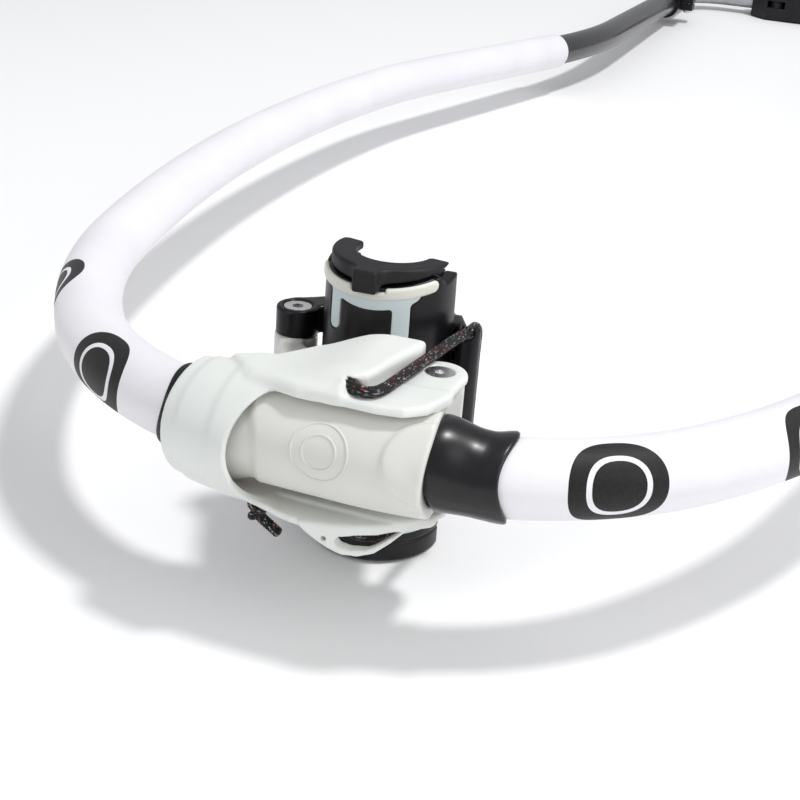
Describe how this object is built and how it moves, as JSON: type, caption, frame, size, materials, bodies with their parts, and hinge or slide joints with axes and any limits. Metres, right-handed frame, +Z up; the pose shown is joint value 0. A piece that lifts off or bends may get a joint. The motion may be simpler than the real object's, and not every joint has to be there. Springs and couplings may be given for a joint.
{
  "type": "windsurf boom",
  "caption": "Windsurf boom with foam-gripped wishbone arms, a lever-closed clamp head with mast cup and gate, and a sliding tail extension.",
  "frame": {"origin": "on the mast axis, at the mid-plane of the two arms", "axes": "+Z up along the mast, +Y back towards the tail, +X towards the arm on the side of the lever pivot"},
  "size_m": [0.5444, 1.5892, 0.1425],
  "materials": {
    "arm_tube": "matte black anodised, fine grain",
    "grip_foam": "matte fine-pored white EVA foam",
    "collar_rubber": "glossy black rubber",
    "head_plastic": "satin light grey moulded plastic",
    "lever_plastic": "satin off-white moulded plastic",
    "cup_plastic": "satin black moulded plastic",
    "trim_plastic": "milky white overmoulding",
    "adapter_plastic": "grained black plastic",
    "gate_plastic": "satin black moulded plastic",
    "pad_rubber": "matte black rubber",
    "steel": "stainless steel",
    "cord_braid": "braided black cord with red, green and white flecks",
    "extension_alloy": "brushed grey anodised",
    "cleat_alloy": "bead blasted"
  },
  "bodies": {
    "boom": {"boom_tube": "arm_tube", "grip_left": "grip_foam", "grip_right": "grip_foam", "collar_left": "collar_rubber", "collar_right": "collar_rubber", "head_body": "head_plastic", "mast_cup": "cup_plastic", "cup_trim": "trim_plastic", "mast_adapter": "adapter_plastic", "pivot_pin": "steel", "pivot_screws": "steel", "hinge_bolt": "steel", "hinge_nut": "steel", "lashing_upper": "cord_braid", "lashing_back": "cord_braid", "lashing_lower": "cord_braid", "clamp_collar_left": "gate_plastic", "clamp_collar_right": "gate_plastic", "clamp_bolt_left": "steel", "clamp_bolt_right": "steel", "cam_pin_left": "steel", "cam_pin_right": "steel"},
    "lever": {"lever": "lever_plastic", "lashing_tail": "cord_braid"},
    "gate": {"gate": "gate_plastic", "gate_pad": "pad_rubber"},
    "extension": {"extension_tube": "extension_alloy", "tail_fitting": "gate_plastic", "sheave_axle_left": "steel", "sheave_axle_right": "steel", "jam_cleat_left": "cleat_alloy", "jam_cleat_right": "cleat_alloy"},
    "sheave_left": {"sheave_left": "lever_plastic"},
    "sheave_right": {"sheave_right": "lever_plastic"},
    "cam_left": {"cam_lever_left": "lever_plastic"},
    "cam_right": {"cam_lever_right": "lever_plastic"}
  },
  "joints": [
    {"name": "lever_pivot", "type": "hinge", "parent": "boom", "child": "lever", "pos_m": [0.042, -0.047, 0], "axis": [0, 0, 1], "range_deg": [0, 120], "deforming": ["lashing_upper", "lashing_back", "lashing_lower"]},
    {"name": "gate_hinge", "type": "hinge", "parent": "boom", "child": "gate", "pos_m": [-0.046, -0.001, 0], "axis": [0, 0, 1], "range_deg": [0, 96]},
    {"name": "extension_slide", "type": "slide", "parent": "boom", "child": "extension", "axis": [0, 1, 0], "range_m": [0, 0.18]},
    {"name": "cam_lever_left", "type": "hinge", "parent": "boom", "child": "cam_left", "pos_m": [-0.12499, 1.33595, 0.0148], "axis": [-1, 0, 0], "range_deg": [0, 150]},
    {"name": "cam_lever_right", "type": "hinge", "parent": "boom", "child": "cam_right", "pos_m": [0.12499, 1.33595, 0.0148], "axis": [-1, 0, 0], "range_deg": [0, 150]},
    {"name": "sheave_left_spin", "type": "hinge", "parent": "extension", "child": "sheave_left", "pos_m": [-0.024, 1.43195, 0], "axis": [0, 0, 1], "continuous": true},
    {"name": "sheave_right_spin", "type": "hinge", "parent": "extension", "child": "sheave_right", "pos_m": [0.024, 1.43195, 0], "axis": [0, 0, 1], "continuous": true}
  ],
  "couplings": [
    {"joint": "gate_hinge", "follows": "lever_pivot", "ratio": 0.8}
  ]
}
